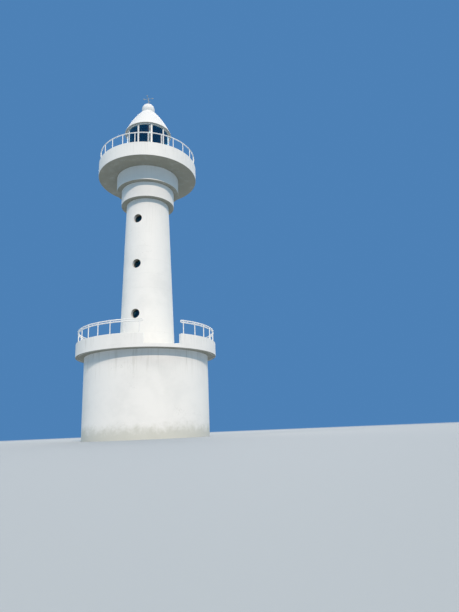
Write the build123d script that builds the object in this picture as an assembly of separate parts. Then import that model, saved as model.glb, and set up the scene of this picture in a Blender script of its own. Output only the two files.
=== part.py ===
"""Round white lighthouse: a wide base storey that carries a walled terrace, a tapering shaft with
portholes, two stepped collars, a walled gallery and a glazed lantern under a bell-shaped roof.

Millimetres, +Z up. The origin is the centre of the underside, on the ground. The portholes look
towards -Y and the doors towards +Y. Azimuths are counted from -Y towards +X, in degrees.
"""
from build123d import *
from math import asin, cos, degrees, radians, sin
import os

# Walls on the ground
BASE_RADIUS = 2900
BASE_WALL = 350
FOUNDATION_DEPTH = 150
BASE_STOREY = 3559
BASE_FRONT_HALF_ARC = 60

# Shaft
SHAFT_FOOT_RADIUS = 1440
SHAFT_HEAD_RADIUS = 1073
SHAFT_BORE = 850
SHAFT_HEIGHT = 7774
STAVE_ARC = 90

# Terrace on the base storey, open on one side over a few bays of its guard
TERRACE_OVERHANG = 393
TERRACE_SLAB = 150
TERRACE_PARAPET_HEIGHT = 472
TERRACE_PARAPET_WALL = 190
TERRACE_GUARD_HEIGHT = 555
TERRACE_BAYS = 31
TERRACE_OPEN_BAYS = 3
TERRACE_OPENING_TURN = 21.1
TERRACE_PARAPET_END = 3
TERRACE_RAIL_GAP = 36
RAIL_OVERRUN = 90
DRIP_GROOVE_INSET = 90
DRIP_GROOVE_WIDTH = 30
DRIP_GROOVE_DEPTH = 20

# Collars that step out under the gallery
LOWER_COLLAR_STEP = 272
LOWER_COLLAR_HEIGHT = 785
UPPER_COLLAR_STEP = 245
UPPER_COLLAR_HEIGHT = 766

# Gallery round the lantern
GALLERY_OVERHANG = 939
GALLERY_SLAB = 160
GALLERY_PARAPET_HEIGHT = 555
GALLERY_PARAPET_WALL = 144
GALLERY_GUARD_HEIGHT = 557
GALLERY_BALUSTERS = 24
GALLERY_BALUSTER_TURN = 12
HATCH_RADIUS = 350

# Guard tubes
RAIL_RADIUS = 25
BALUSTER_RADIUS = 20

# Portholes, with their heights above the terrace floor
PORTHOLE_RADIUS = 225
PORTHOLE_RECESS = 190
PORTHOLE_HEIGHTS = (1811, 4311, 6711)
REAR_PORTHOLE_HEIGHTS = (4311, 6711)
PORTHOLE_FRAME_WIDTH = 38
PORTHOLE_FRAME_DEPTH = 45
PORTHOLE_FLANGE = 18
PORTHOLE_REBATE = 14
PORTHOLE_GLASS = 10

# Doors
ENTRANCE_WIDTH = 950
ENTRANCE_HEIGHT = 2050
TERRACE_DOOR_WIDTH = 750
TERRACE_DOOR_HEIGHT = 1880
TERRACE_DOOR_STEP = 100
FOOT_DOORWAY_WIDTH = 750
FOOT_DOORWAY_HEIGHT = 1950
DOOR_RECESS = 120
DOOR_FRAME_FACE = 55
DOOR_FRAME_DEPTH = 90
DOOR_LEAF = 45
DOOR_STOP = 15
DOOR_PANEL_MARGIN = 110
DOOR_PANEL_DEPTH = 12
HANDLE_HEIGHT = 1000
HANDLE_INSET = 65
HANDLE_ROSE_RADIUS = 26
HANDLE_ROSE_DEPTH = 12
HANDLE_NECK_RADIUS = 9
HANDLE_NECK = 45
HANDLE_LEVER = 120

# Lantern
LANTERN_RADIUS = 1135
LANTERN_WALL = 120
LANTERN_WALL_HEIGHT = 900
LANTERN_BAYS = 10
LANTERN_DOOR_BAY = 4
LANTERN_POST_WIDTH = 60
LANTERN_POST_DEPTH = 60
LANTERN_GLAZED_HEIGHT = 1654
LANTERN_GLASS = 10
LANTERN_DOOR_LEAF = 36
LANTERN_DOOR_STILE = 60
LANTERN_DOOR_SILL = 20
HEAD_RAIL_DEPTH = 45
HEAD_RING_RADIUS = 1185
HEAD_RING_WIDTH = 245
HEAD_RING_DEPTH = 80

# Roof and what stands on it
ROOF_EAVE_RADIUS = 1235
ROOF_CROWN_RADIUS = 390
ROOF_HEIGHT = 1383
ROOF_BULGE = 59
ROOF_SHELL = 30
ROOF_BEARING = 50
BALL_RADIUS = 346
BALL_FOOT_RADIUS = 223
MAST_RADIUS = 12
MAST_HEIGHT = 450
PRONG_LENGTH = 250
PRONG_RADIUS = 9
PRONG_HEIGHT = 390
PRONG_TURN = 12
PRONG_COUNT = 4
PRONG_TIP_RADIUS = 32

# Fits
CLEARANCE = 0.3
GLASS_CLEARANCE = 2
THROUGH = 50

# Radii worked out from the walls that carry them
terrace_radius = BASE_RADIUS + TERRACE_OVERHANG
lower_collar_radius = SHAFT_HEAD_RADIUS + LOWER_COLLAR_STEP
upper_collar_radius = lower_collar_radius + UPPER_COLLAR_STEP
gallery_radius = upper_collar_radius + GALLERY_OVERHANG

# Levels worked out from the ground up
base_floor_level = FOUNDATION_DEPTH
terrace_underside = base_floor_level + BASE_STOREY
terrace_floor = terrace_underside + TERRACE_SLAB
terrace_parapet_top = terrace_floor + TERRACE_PARAPET_HEIGHT
terrace_rail_level = terrace_parapet_top + TERRACE_GUARD_HEIGHT
shaft_top = terrace_floor + SHAFT_HEIGHT
lower_collar_top = shaft_top + LOWER_COLLAR_HEIGHT
gallery_underside = lower_collar_top + UPPER_COLLAR_HEIGHT
gallery_floor = gallery_underside + GALLERY_SLAB
gallery_parapet_top = gallery_floor + GALLERY_PARAPET_HEIGHT
gallery_rail_level = gallery_parapet_top + GALLERY_GUARD_HEIGHT
lantern_sill = gallery_floor + LANTERN_WALL_HEIGHT
lantern_head = lantern_sill + LANTERN_GLAZED_HEIGHT
soffit = lantern_head + HEAD_RAIL_DEPTH
head_ring_top = soffit + HEAD_RING_DEPTH
roof_crown = soffit + ROOF_HEIGHT
ball_drop = (BALL_RADIUS**2 - BALL_FOOT_RADIUS**2) ** 0.5
ball_centre = roof_crown + ball_drop
ball_top = ball_centre + BALL_RADIUS

# Azimuths at which the terrace's guard starts and ends, on either side of its opening
terrace_bay = 360 / TERRACE_BAYS
guard_start = TERRACE_OPENING_TURN + TERRACE_OPEN_BAYS * terrace_bay
guard_sweep = (TERRACE_BAYS - TERRACE_OPEN_BAYS) * terrace_bay
guard_end = guard_start + guard_sweep
guard_middle = guard_start + guard_sweep / 2

half_bay = 180 / LANTERN_BAYS

UP = (Align.CENTER, Align.CENTER, Align.MIN)
OUTER_FOOT = (Align.CENTER, Align.MIN, Align.MIN)
INNER_FOOT = (Align.CENTER, Align.MAX, Align.MIN)


def turned(points, start=0, sweep=360):
    """Solid turned about the tower's axis from a closed outline of (radius, height) points."""
    outline = Plane.XZ * Polyline(*points, close=True)
    return Rot(0, 0, start - 90) * revolve(make_face(outline), Axis.Z, sweep)


def ring(inner, outer, bottom, top, start=0, sweep=360):
    """Upright ring, or an arc of one, with a rectangular section."""
    section = ((inner, bottom), (outer, bottom), (outer, top), (inner, top))
    return turned(section, start, sweep)


def turn(azimuth):
    """Turn that carries a piece made at the -Y side round to an azimuth."""
    return Rot(0, 0, azimuth)


def shaft_radius(level):
    """Outer radius of the shaft, which tapers evenly from the foundation to the collar."""
    share = (level - base_floor_level) / (shaft_top - base_floor_level)
    return SHAFT_FOOT_RADIUS + (SHAFT_HEAD_RADIUS - SHAFT_FOOT_RADIUS) * share


def shaft_ring(bottom, top, start=0, sweep=360):
    """Arc of the tapering shaft between two levels, with its straight bore."""
    section = (
        (SHAFT_BORE, bottom),
        (shaft_radius(bottom), bottom),
        (shaft_radius(top), top),
        (SHAFT_BORE, top),
    )
    return turned(section, start, sweep)


def doorway(width, bottom, top, inner, outer):
    """Block with parallel sides that fills a doorway on the +Y side."""
    block = Box(width, outer - inner, top - bottom, align=OUTER_FOOT)
    return Pos(0, inner, bottom) * block


def save(**nodes):
    """Write each node under its own name."""
    for name, solids in nodes.items():
        parts = solids if isinstance(solids, list) else [solids]
        shape = parts[0] if len(parts) == 1 else Compound(children=parts)
        export_step(shape, f"parts/{name}.step")


# Foundation and base storey
def base_storey():
    """Round outer wall in three arcs, cut by the entrance, with the lintel that closes over it."""
    inner = BASE_RADIUS - BASE_WALL
    head = base_floor_level + ENTRANCE_HEIGHT
    outside = BASE_RADIUS + THROUGH
    slot = doorway(ENTRANCE_WIDTH, base_floor_level, terrace_underside, 0, outside)
    over = doorway(ENTRANCE_WIDTH, head, terrace_underside, 0, outside)
    flank = 180 - BASE_FRONT_HALF_ARC
    wall = (inner, BASE_RADIUS, base_floor_level, terrace_underside)
    save(
        foundation_slab=Cylinder(BASE_RADIUS, FOUNDATION_DEPTH, align=UP),
        base_wall_front=ring(*wall, -BASE_FRONT_HALF_ARC, 2 * BASE_FRONT_HALF_ARC),
        base_wall_right=ring(*wall, BASE_FRONT_HALF_ARC, flank) - slot,
        base_wall_left=ring(*wall, 180, flank) - slot,
        base_wall_lintel=ring(*wall, 90, 180) & over,
    )


def tower_foot():
    """Shaft wall inside the base storey, in two arcs beside its inner doorway, with a lintel."""
    head = base_floor_level + FOOT_DOORWAY_HEIGHT
    outside = SHAFT_FOOT_RADIUS + THROUGH
    slot = doorway(FOOT_DOORWAY_WIDTH, base_floor_level, terrace_underside, 0, outside)
    over = doorway(FOOT_DOORWAY_WIDTH, head, terrace_underside, 0, outside)
    save(
        tower_foot_right=shaft_ring(base_floor_level, terrace_underside, 0, 180) - slot,
        tower_foot_left=shaft_ring(base_floor_level, terrace_underside, 180, 180) - slot,
        tower_foot_lintel=shaft_ring(base_floor_level, terrace_underside, 90, 180) & over,
    )


# Slabs, collars and parapets
def slabs_and_collars():
    """Cast slabs of the terrace and the gallery, and the two collars that step out between."""
    groove_outer = terrace_radius - DRIP_GROOVE_INSET
    groove = ring(
        groove_outer - DRIP_GROOVE_WIDTH,
        groove_outer,
        terrace_underside,
        terrace_underside + DRIP_GROOVE_DEPTH,
    )
    save(
        terrace_slab=ring(SHAFT_BORE, terrace_radius, terrace_underside, terrace_floor) - groove,
        lower_collar=ring(SHAFT_BORE, lower_collar_radius, shaft_top, lower_collar_top),
        upper_collar=ring(SHAFT_BORE, upper_collar_radius, lower_collar_top, gallery_underside),
        gallery_slab=ring(HATCH_RADIUS, gallery_radius, gallery_underside, gallery_floor),
    )


def parapets():
    """Low walls round the terrace, up to its opening, and round the gallery, each in two arcs."""
    terrace_inner = terrace_radius - TERRACE_PARAPET_WALL
    terrace = (terrace_inner, terrace_radius, terrace_floor, terrace_parapet_top)
    gallery_inner = gallery_radius - GALLERY_PARAPET_WALL
    gallery = (gallery_inner, gallery_radius, gallery_floor, gallery_parapet_top)
    arc = guard_sweep / 2 + TERRACE_PARAPET_END
    save(
        terrace_parapet_right=ring(*terrace, guard_middle - arc, arc),
        terrace_parapet_left=ring(*terrace, guard_middle, arc),
        gallery_parapet_right=ring(*gallery, 0, 180),
        gallery_parapet_left=ring(*gallery, 180, 180),
    )


# Guards on the parapets
def rail(radius, level, start, sweep):
    """Arc of round tube, bent to the parapet's curve."""
    section = Plane.XZ * Pos(radius, level) * Circle(RAIL_RADIUS)
    return Rot(0, 0, start - 90) * revolve(section, Axis.Z, sweep)


def rail_end(radius, lower, upper, azimuth, side):
    """Bend at the end of two rails: each runs on straight for a little, then a half loop joins them."""
    turned_back = Plane.YZ.offset(side * RAIL_OVERRUN)
    loop_axis = Axis((side * RAIL_OVERRUN, -radius, (lower + upper) / 2), (0, -side, 0))
    end = revolve(turned_back * Pos(-radius, lower) * Circle(RAIL_RADIUS), loop_axis, 180)
    for level in (lower, upper):
        section = Plane.YZ * Pos(-radius, level) * Circle(RAIL_RADIUS)
        end += extrude(section, side * RAIL_OVERRUN)
    return turn(azimuth) * end


def twin_rail(radius, lower, upper, start, end, side):
    """Two rails one above the other, joined by a bend at the end that faces the opening."""
    tubes = rail(radius, lower, start, end - start) + rail(radius, upper, start, end - start)
    opening = end if side > 0 else start
    return tubes + rail_end(radius, lower, upper, opening, side)


def balusters(azimuths, radius, bottom, rail_level):
    """Tubes on a parapet, each cut hollow at its top to seat under the rail."""
    tube = Pos(0, -radius, bottom) * Cylinder(BALUSTER_RADIUS, rail_level - bottom, align=UP)
    seat = Plane.YZ * Pos(-radius, rail_level) * Circle(RAIL_RADIUS + CLEARANCE)
    baluster = tube - extrude(seat, BALUSTER_RADIUS + THROUGH, both=True)
    return [turn(azimuth) * baluster for azimuth in azimuths]


def spacers(azimuths, radius, lower, upper):
    """Short stubs that hold the upper of two rails over the lower one."""
    stub = Pos(0, -radius, lower) * Cylinder(BALUSTER_RADIUS, upper - lower, align=UP)
    for level in (lower, upper):
        seat = Plane.YZ * Pos(-radius, level) * Circle(RAIL_RADIUS + CLEARANCE)
        stub -= extrude(seat, BALUSTER_RADIUS + THROUGH, both=True)
    return [turn(azimuth) * stub for azimuth in azimuths]


def terrace_guard():
    """Twin rail on balusters, from one side of the terrace's opening round to the other."""
    radius = terrace_radius - TERRACE_PARAPET_WALL / 2
    half_pitch = RAIL_RADIUS + TERRACE_RAIL_GAP / 2
    lower = terrace_rail_level - half_pitch
    upper = terrace_rail_level + half_pitch
    count = TERRACE_BAYS - TERRACE_OPEN_BAYS + 1
    posts = [guard_start + terrace_bay * index for index in range(count)]
    save(
        terrace_rail_right=twin_rail(radius, lower, upper, guard_start, guard_middle, -1),
        terrace_rail_left=twin_rail(radius, lower, upper, guard_middle, guard_end, 1),
        terrace_balusters=balusters(posts, radius, terrace_parapet_top, lower),
        terrace_rail_spacers=spacers(posts, radius, lower, upper),
    )


def gallery_guard():
    """Single rail on balusters, all the way round the gallery."""
    radius = gallery_radius - GALLERY_PARAPET_WALL / 2
    bay = 360 / GALLERY_BALUSTERS
    posts = [GALLERY_BALUSTER_TURN + bay * index for index in range(GALLERY_BALUSTERS)]
    save(
        gallery_rail_right=rail(radius, gallery_rail_level, 0, 180),
        gallery_rail_left=rail(radius, gallery_rail_level, 180, 180),
        gallery_balusters=balusters(posts, radius, gallery_parapet_top, gallery_rail_level),
    )


# Shaft with its portholes
def porthole_face(azimuth, level):
    """Plane that looks outwards at a porthole's centre on the shaft's face."""
    outwards = Vector(sin(radians(azimuth)), -cos(radians(azimuth)), 0)
    return Plane(origin=outwards * shaft_radius(level) + Vector(0, 0, level), z_dir=outwards)


def porthole_places():
    """Every porthole's azimuth and level."""
    front = [(0, terrace_floor + height) for height in PORTHOLE_HEIGHTS]
    rear = [(180, terrace_floor + height) for height in REAR_PORTHOLE_HEIGHTS]
    return front + rear


def portholes():
    """Metal frames with a flange in front of a rebate, and the round panes seated in them."""
    outer = PORTHOLE_RADIUS - CLEARANCE
    sight = outer - PORTHOLE_FRAME_WIDTH
    rebate = sight + PORTHOLE_REBATE
    front = -PORTHOLE_RECESS
    shoulder = front - PORTHOLE_FLANGE
    back = front - PORTHOLE_FRAME_DEPTH
    section = (
        (sight, front),
        (outer, front),
        (outer, back),
        (rebate, back),
        (rebate, shoulder),
        (sight, shoulder),
    )
    frame = turned(section)
    pane = Pos(0, 0, shoulder - PORTHOLE_GLASS)
    pane = pane * Cylinder(rebate - CLEARANCE, PORTHOLE_GLASS, align=UP)
    places = [porthole_face(*place).location for place in porthole_places()]
    save(
        porthole_frames=[place * frame for place in places],
        porthole_glass=[place * pane for place in places],
    )


def shaft():
    """Four upright staves of the shaft, pierced by the portholes and the terrace door."""
    staves = {
        name: shaft_ring(terrace_floor, shaft_top, middle - STAVE_ARC / 2, STAVE_ARC)
        for name, middle in (("front", 0), ("right", 90), ("back", 180), ("left", 270))
    }
    hole = Cylinder(PORTHOLE_RADIUS, 2 * SHAFT_BORE)
    for azimuth, level in porthole_places():
        name = "back" if azimuth else "front"
        staves[name] -= porthole_face(azimuth, level).location * hole
    sill = terrace_floor + TERRACE_DOOR_STEP
    top = sill + TERRACE_DOOR_HEIGHT
    outside = SHAFT_FOOT_RADIUS + THROUGH
    staves["back"] -= doorway(TERRACE_DOOR_WIDTH, sill, top, 0, outside)
    save(**{f"shaft_wall_{name}": stave for name, stave in staves.items()})


# Doors
def door(width, height, bottom, wall_face):
    """Closed door on the +Y side: a frame with a stop, and a panelled leaf with a lever handle."""
    face = wall_face - DOOR_RECESS
    opening = width - 2 * DOOR_FRAME_FACE
    opening_height = height - 2 * DOOR_FRAME_FACE
    outer = Box(width - 2 * CLEARANCE, DOOR_FRAME_DEPTH, height, align=INNER_FOOT)
    frame = Pos(0, face, bottom) * outer
    pocket = Pos(0, face, bottom + DOOR_FRAME_FACE)
    frame -= pocket * Box(opening, DOOR_LEAF, opening_height, align=INNER_FOOT)
    sight = Pos(0, face, bottom + DOOR_FRAME_FACE + DOOR_STOP)
    clear_width = opening - 2 * DOOR_STOP
    clear_height = opening_height - 2 * DOOR_STOP
    frame -= sight * Box(clear_width, DOOR_FRAME_DEPTH, clear_height, align=INNER_FOOT)
    leaf_width = opening - 2 * GLASS_CLEARANCE
    leaf = pocket * Box(leaf_width, DOOR_LEAF, opening_height, align=INNER_FOOT)
    leaf -= door_panels(leaf_width, opening_height, face, bottom + DOOR_FRAME_FACE)
    return frame, leaf + door_handle(leaf_width / 2 - HANDLE_INSET, face, bottom)


def door_panels(width, height, face, bottom):
    """Two sunk panels, one above and one below the lock rail."""
    panel_width = width - 2 * DOOR_PANEL_MARGIN
    panel_height = (height - 3 * DOOR_PANEL_MARGIN) / 2
    panel = Box(panel_width, DOOR_PANEL_DEPTH, panel_height, align=INNER_FOOT)
    low = bottom + DOOR_PANEL_MARGIN
    high = low + panel_height + DOOR_PANEL_MARGIN
    return [Pos(0, face, level) * panel for level in (low, high)]


def door_handle(across, face, bottom):
    """Round rose, neck and lever, standing out of the leaf."""
    outwards = Plane(origin=(across, face, bottom + HANDLE_HEIGHT), z_dir=(0, 1, 0)).location
    rose = outwards * Cylinder(HANDLE_ROSE_RADIUS, HANDLE_ROSE_DEPTH, align=UP)
    neck = outwards * Cylinder(HANDLE_NECK_RADIUS, HANDLE_NECK, align=UP)
    grip = Plane(
        origin=(across + HANDLE_NECK_RADIUS, face + HANDLE_NECK, bottom + HANDLE_HEIGHT),
        z_dir=(-1, 0, 0),
    ).location
    return rose + neck + grip * Cylinder(HANDLE_NECK_RADIUS, HANDLE_LEVER, align=UP)


def doors():
    """Entrance in the base storey, and the door from the shaft to the terrace."""
    frame, leaf = door(ENTRANCE_WIDTH, ENTRANCE_HEIGHT, base_floor_level, BASE_RADIUS)
    save(entrance_door_frame=frame, entrance_door=leaf)
    sill = terrace_floor + TERRACE_DOOR_STEP
    frame, leaf = door(TERRACE_DOOR_WIDTH, TERRACE_DOOR_HEIGHT, sill, shaft_radius(sill))
    save(terrace_door_frame=frame, terrace_door=leaf)


# Lantern
def bay_panel(bay, thickness, bottom, top, margin=0):
    """Upright panel curved to the posts' middle line, which fills one bay but for a margin beside each post."""
    middle = LANTERN_RADIUS - LANTERN_POST_DEPTH / 2
    edge = degrees(asin((LANTERN_POST_WIDTH / 2 + GLASS_CLEARANCE + margin) / middle))
    start = 2 * bay * half_bay + edge
    sweep = 2 * (half_bay - edge)
    return ring(middle - thickness / 2, middle + thickness / 2, bottom, top, start, sweep)


def lantern_posts():
    """Posts at the corners of the bays, on the low wall, or on the floor beside the door."""
    posts = []
    for corner in range(LANTERN_BAYS):
        at_door = corner in (LANTERN_DOOR_BAY, LANTERN_DOOR_BAY + 1)
        foot = gallery_floor if at_door else lantern_sill
        post = Box(LANTERN_POST_WIDTH, LANTERN_POST_DEPTH, lantern_head - foot, align=OUTER_FOOT)
        posts.append(turn(2 * corner * half_bay) * Pos(0, -LANTERN_RADIUS, foot) * post)
    save(lantern_posts=posts)


def lantern_base_wall():
    """Low round wall under the glazing, left open at the door's bay."""
    first = 2 * LANTERN_DOOR_BAY * half_bay
    last = first + 2 * half_bay
    outside = LANTERN_RADIUS + THROUGH
    wall = ring(LANTERN_RADIUS - LANTERN_WALL, LANTERN_RADIUS, gallery_floor, lantern_sill)
    wall -= ring(0, outside, gallery_floor, lantern_sill, first, 2 * half_bay)
    cheek = Box(LANTERN_POST_WIDTH, outside, LANTERN_WALL_HEIGHT, align=OUTER_FOOT)
    for azimuth in (first, last):
        wall -= turn(azimuth) * Pos(0, -outside, gallery_floor) * cheek
    save(lantern_base_wall=wall)


def lantern_glazing():
    """Curved fixed panes on the low wall, and the curved door of one bay with a pane in its upper part."""
    fixed = [bay for bay in range(LANTERN_BAYS) if bay != LANTERN_DOOR_BAY]
    panes = [bay_panel(bay, LANTERN_GLASS, lantern_sill, lantern_head) for bay in fixed]
    light_foot = lantern_sill + LANTERN_DOOR_STILE
    light_head = lantern_head - LANTERN_DOOR_STILE
    light = (2 * LANTERN_DOOR_LEAF, light_foot, light_head, LANTERN_DOOR_STILE)
    leaf_foot = gallery_floor + LANTERN_DOOR_SILL
    leaf = bay_panel(LANTERN_DOOR_BAY, LANTERN_DOOR_LEAF, leaf_foot, lantern_head)
    door_pane = bay_panel(
        LANTERN_DOOR_BAY,
        LANTERN_GLASS,
        light_foot + CLEARANCE,
        light_head - CLEARANCE,
        LANTERN_DOOR_STILE + CLEARANCE,
    )
    save(lantern_glass=[*panes, door_pane], lantern_door=leaf - bay_panel(LANTERN_DOOR_BAY, *light))


def lantern_head_ring():
    """Ring beam that carries the roof and shows as its soffit, with the rail under it that rests on the posts."""
    inner = HEAD_RING_RADIUS - HEAD_RING_WIDTH
    beam = ring(inner, HEAD_RING_RADIUS, soffit, head_ring_top)
    head_rail = ring(LANTERN_RADIUS - LANTERN_POST_DEPTH, LANTERN_RADIUS, lantern_head, soffit)
    save(lantern_head_ring=beam + head_rail)


# Roof
def roof():
    """Bell-shaped shell on the head ring, closed by a flat crown."""
    eave = (ROOF_EAVE_RADIUS, soffit)
    crown = (ROOF_CROWN_RADIUS, roof_crown)
    lip = HEAD_RING_RADIUS + CLEARANCE
    bearing = (HEAD_RING_RADIUS - ROOF_BEARING, head_ring_top)
    under_crown = (ROOF_CROWN_RADIUS - ROOF_SHELL, roof_crown - ROOF_SHELL)
    outline = [
        SagittaArc(eave, crown, -ROOF_BULGE),
        Polyline(crown, (0, roof_crown), (0, roof_crown - ROOF_SHELL), under_crown),
        SagittaArc(under_crown, bearing, ROOF_BULGE),
        Polyline(bearing, (lip, head_ring_top), (lip, soffit), eave),
    ]
    shell = revolve(Plane.XZ * make_face(outline), Axis.Z)
    save(roof=shell)


def roof_fittings():
    """Ball ventilator seated on the crown, and the pronged lightning rod on top of it."""
    ball = Pos(0, 0, ball_centre) * Sphere(BALL_RADIUS)
    ball = split(ball, Plane.XY.offset(roof_crown), keep=Keep.TOP)
    mast_foot = ball_top - MAST_RADIUS
    rod = Pos(0, 0, mast_foot) * Cylinder(MAST_RADIUS, MAST_HEIGHT, align=UP)
    prong_level = ball_top + PRONG_HEIGHT
    prong = Plane(origin=(0, 0, prong_level), z_dir=(0, -1, 0)).location
    prong = prong * Cylinder(PRONG_RADIUS, PRONG_LENGTH, align=UP)
    tip = Pos(0, -PRONG_LENGTH, prong_level) * Sphere(PRONG_TIP_RADIUS)
    for index in range(PRONG_COUNT):
        place = turn(PRONG_TURN + 360 / PRONG_COUNT * index)
        rod = rod + place * prong + place * tip
    save(ball_ventilator=ball, lightning_rod=rod - ball)


os.makedirs("parts", exist_ok=True)
base_storey()
tower_foot()
slabs_and_collars()
parapets()
terrace_guard()
gallery_guard()
shaft()
portholes()
doors()
lantern_posts()
lantern_base_wall()
lantern_glazing()
lantern_head_ring()
roof()
roof_fittings()
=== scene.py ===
"""A small white lighthouse, dressed on its CAD frame: a round base storey with a walled terrace, a
tapering shaft with portholes, stepped collars, a walled gallery and a glazed lantern under a bell-shaped
roof.

Metres, +Z up. Azimuths are counted from the porthole side, -Y, towards +X.
"""

from math import cos, radians, sin

import bmesh
import bpy
import numpy as np
from mathutils import Matrix, Vector


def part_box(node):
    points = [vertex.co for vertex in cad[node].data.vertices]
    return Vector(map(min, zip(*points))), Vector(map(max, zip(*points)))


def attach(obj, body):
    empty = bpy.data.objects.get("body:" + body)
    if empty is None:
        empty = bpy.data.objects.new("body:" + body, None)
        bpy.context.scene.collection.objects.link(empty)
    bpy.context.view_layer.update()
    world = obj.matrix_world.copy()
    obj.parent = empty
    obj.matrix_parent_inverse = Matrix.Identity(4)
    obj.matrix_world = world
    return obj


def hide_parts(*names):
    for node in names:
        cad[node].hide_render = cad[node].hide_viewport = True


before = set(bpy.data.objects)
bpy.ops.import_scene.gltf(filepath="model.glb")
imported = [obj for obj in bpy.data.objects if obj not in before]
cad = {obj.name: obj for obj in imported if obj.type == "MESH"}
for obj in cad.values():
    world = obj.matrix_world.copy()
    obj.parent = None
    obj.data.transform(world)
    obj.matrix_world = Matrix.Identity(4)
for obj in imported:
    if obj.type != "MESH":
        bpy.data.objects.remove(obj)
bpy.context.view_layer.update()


# Base storey. A drum of masonry with a smooth cement render, rolled with white masonry paint. Its walls
# stand on a round footing, and the tower's own wall goes on down inside it to the same footing.
PAINT_WHITE = (0.90, 0.905, 0.895, 1)
PAINT_DULLED = (0.76, 0.775, 0.77, 1)
# Grey laid on all that looks down, as painted shade under the overhangs.
SOFFIT_SHADE = (0.29, 0.285, 0.235, 1)
TOP_DUST = (0.60, 0.59, 0.54, 1)
RUN_MARK = (0.44, 0.45, 0.40, 1)
CRACK_SHADE = (0.38, 0.37, 0.34, 1)
ALGAE = (0.34, 0.36, 0.27, 1)
ALGAE_BAND = 0.5
CRACK_DEPTH = 0.001
JOINT_DEPTH = 0.003
LIFT = 0.715
PAINT_SHINE = 0.3


def add(tree, kind, inputs=None, **settings):
    """One shader node with its properties set and each named input given a value or a link."""
    made = tree.nodes.new(kind)
    for name, value in settings.items():
        setattr(made, name, value)
    for name, value in (inputs or {}).items():
        if isinstance(value, bpy.types.NodeSocket):
            tree.links.new(value, made.inputs[name])
        else:
            made.inputs[name].default_value = value
    return made


def calc(tree, operation, first, second=0.0):
    """One sum on two numbers or masks."""
    return add(tree, "ShaderNodeMath", {0: first, 1: second}, operation=operation).outputs[0]


def times(tree, first, second):
    """Product of two numbers or masks."""
    return calc(tree, "MULTIPLY", first, second)


def graded(tree, mask, base, span):
    """Number that is the base where a mask is 0, and more by the span where it is 1."""
    inputs = {0: mask, 1: span, 2: base}
    return add(tree, "ShaderNodeMath", inputs, operation="MULTIPLY_ADD").outputs[0]


def vector(tree, operation, *given):
    """One sum on vectors, with its result as Vector or Value."""
    return add(tree, "ShaderNodeVectorMath", dict(enumerate(given)), operation=operation).outputs


def climb(tree, value, low, high):
    """Mask that climbs smoothly from 0 where a value is low to 1 where it is high."""
    inputs = {"Value": value, "From Min": low, "From Max": high}
    return add(tree, "ShaderNodeMapRange", inputs, interpolation_type="SMOOTHSTEP").outputs[0]


def over(tree, base, colour, mask, share=1.0):
    """A colour laid over another where the mask is 1, wholly or by a share."""
    strength = mask if share == 1.0 else times(tree, mask, share)
    return add(tree, "ShaderNodeMix", {0: strength, 6: base, 7: colour}, data_type="RGBA").outputs[2]


def noise(tree, place, scale, detail=4.0, roughness=0.55):
    """Cloudy value round one half; the scale is in waves to the metre."""
    inputs = {"Vector": place, "Scale": scale, "Detail": detail, "Roughness": roughness}
    return add(tree, "ShaderNodeTexNoise", inputs).outputs[0]


def here(tree):
    """Place on the object, in metres."""
    return add(tree, "ShaderNodeTexCoord").outputs["Object"]


def height_here(tree):
    """Height above the ground, in metres."""
    return add(tree, "ShaderNodeSeparateXYZ", {0: here(tree)}).outputs["Z"]


def away_from_axis(tree):
    """Level vector from the tower's axis to the place on the object."""
    return vector(tree, "MULTIPLY", here(tree), (1, 1, 0))["Vector"]


def normal_here(tree):
    """Direction that the surface faces."""
    return add(tree, "ShaderNodeNewGeometry").outputs["Normal"]


def effect(name, inputs, outputs):
    """Start a shader node group with numbers in and masks or heights out."""
    tree = bpy.data.node_groups.new(name, "ShaderNodeTree")
    for key, value in inputs.items():
        socket = tree.interface.new_socket(key, in_out="INPUT", socket_type="NodeSocketFloat")
        socket.default_value = value
    for key in outputs:
        tree.interface.new_socket(key, in_out="OUTPUT", socket_type="NodeSocketFloat")
    return tree, add(tree, "NodeGroupInput").outputs, add(tree, "NodeGroupOutput").inputs


def put(tree, group, **values):
    """A node group placed in a material with its own values; returns its outputs."""
    made = add(tree, "ShaderNodeGroup", node_tree=group)
    for key, value in values.items():
        made.inputs[key].default_value = value
    return made.outputs


def rain_marks_effect():
    """Dirty runs under an edge: noise drawn out along the fall line, fading with the distance fallen."""
    waves_down = 0.45
    tree, given, result = effect("rain_marks", {"Fineness": 26.0, "Edge": 0.0, "Reach": 1.0}, ["Mark"])
    outwards = vector(tree, "NORMALIZE", away_from_axis(tree))["Vector"]
    spread = vector(tree, "MULTIPLY", outwards, given["Fineness"])["Vector"]
    height = height_here(tree)
    fall = add(tree, "ShaderNodeCombineXYZ", {"Z": times(tree, height, waves_down)}).outputs[0]
    path = vector(tree, "ADD", spread, fall)["Vector"]
    runs = climb(tree, noise(tree, path, scale=1.0, detail=5.0, roughness=0.62), low=0.5, high=0.74)
    fallen = calc(tree, "SUBTRACT", given["Edge"], height)
    fading = climb(tree, calc(tree, "DIVIDE", fallen, given["Reach"]), low=1.0, high=0.0)
    tree.links.new(times(tree, runs, fading), result["Mark"])
    return tree


def facing_effect():
    """Masks of what looks up, for dust, and of what looks down, for painted shade."""
    tree, _, result = effect("facing", {}, ["Top", "Soffit"])
    upwards = add(tree, "ShaderNodeSeparateXYZ", {0: normal_here(tree)}).outputs["Z"]
    tree.links.new(climb(tree, upwards, low=0.55, high=0.95), result["Top"])
    tree.links.new(climb(tree, upwards, low=-0.45, high=-0.9), result["Soffit"])
    return tree


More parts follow.
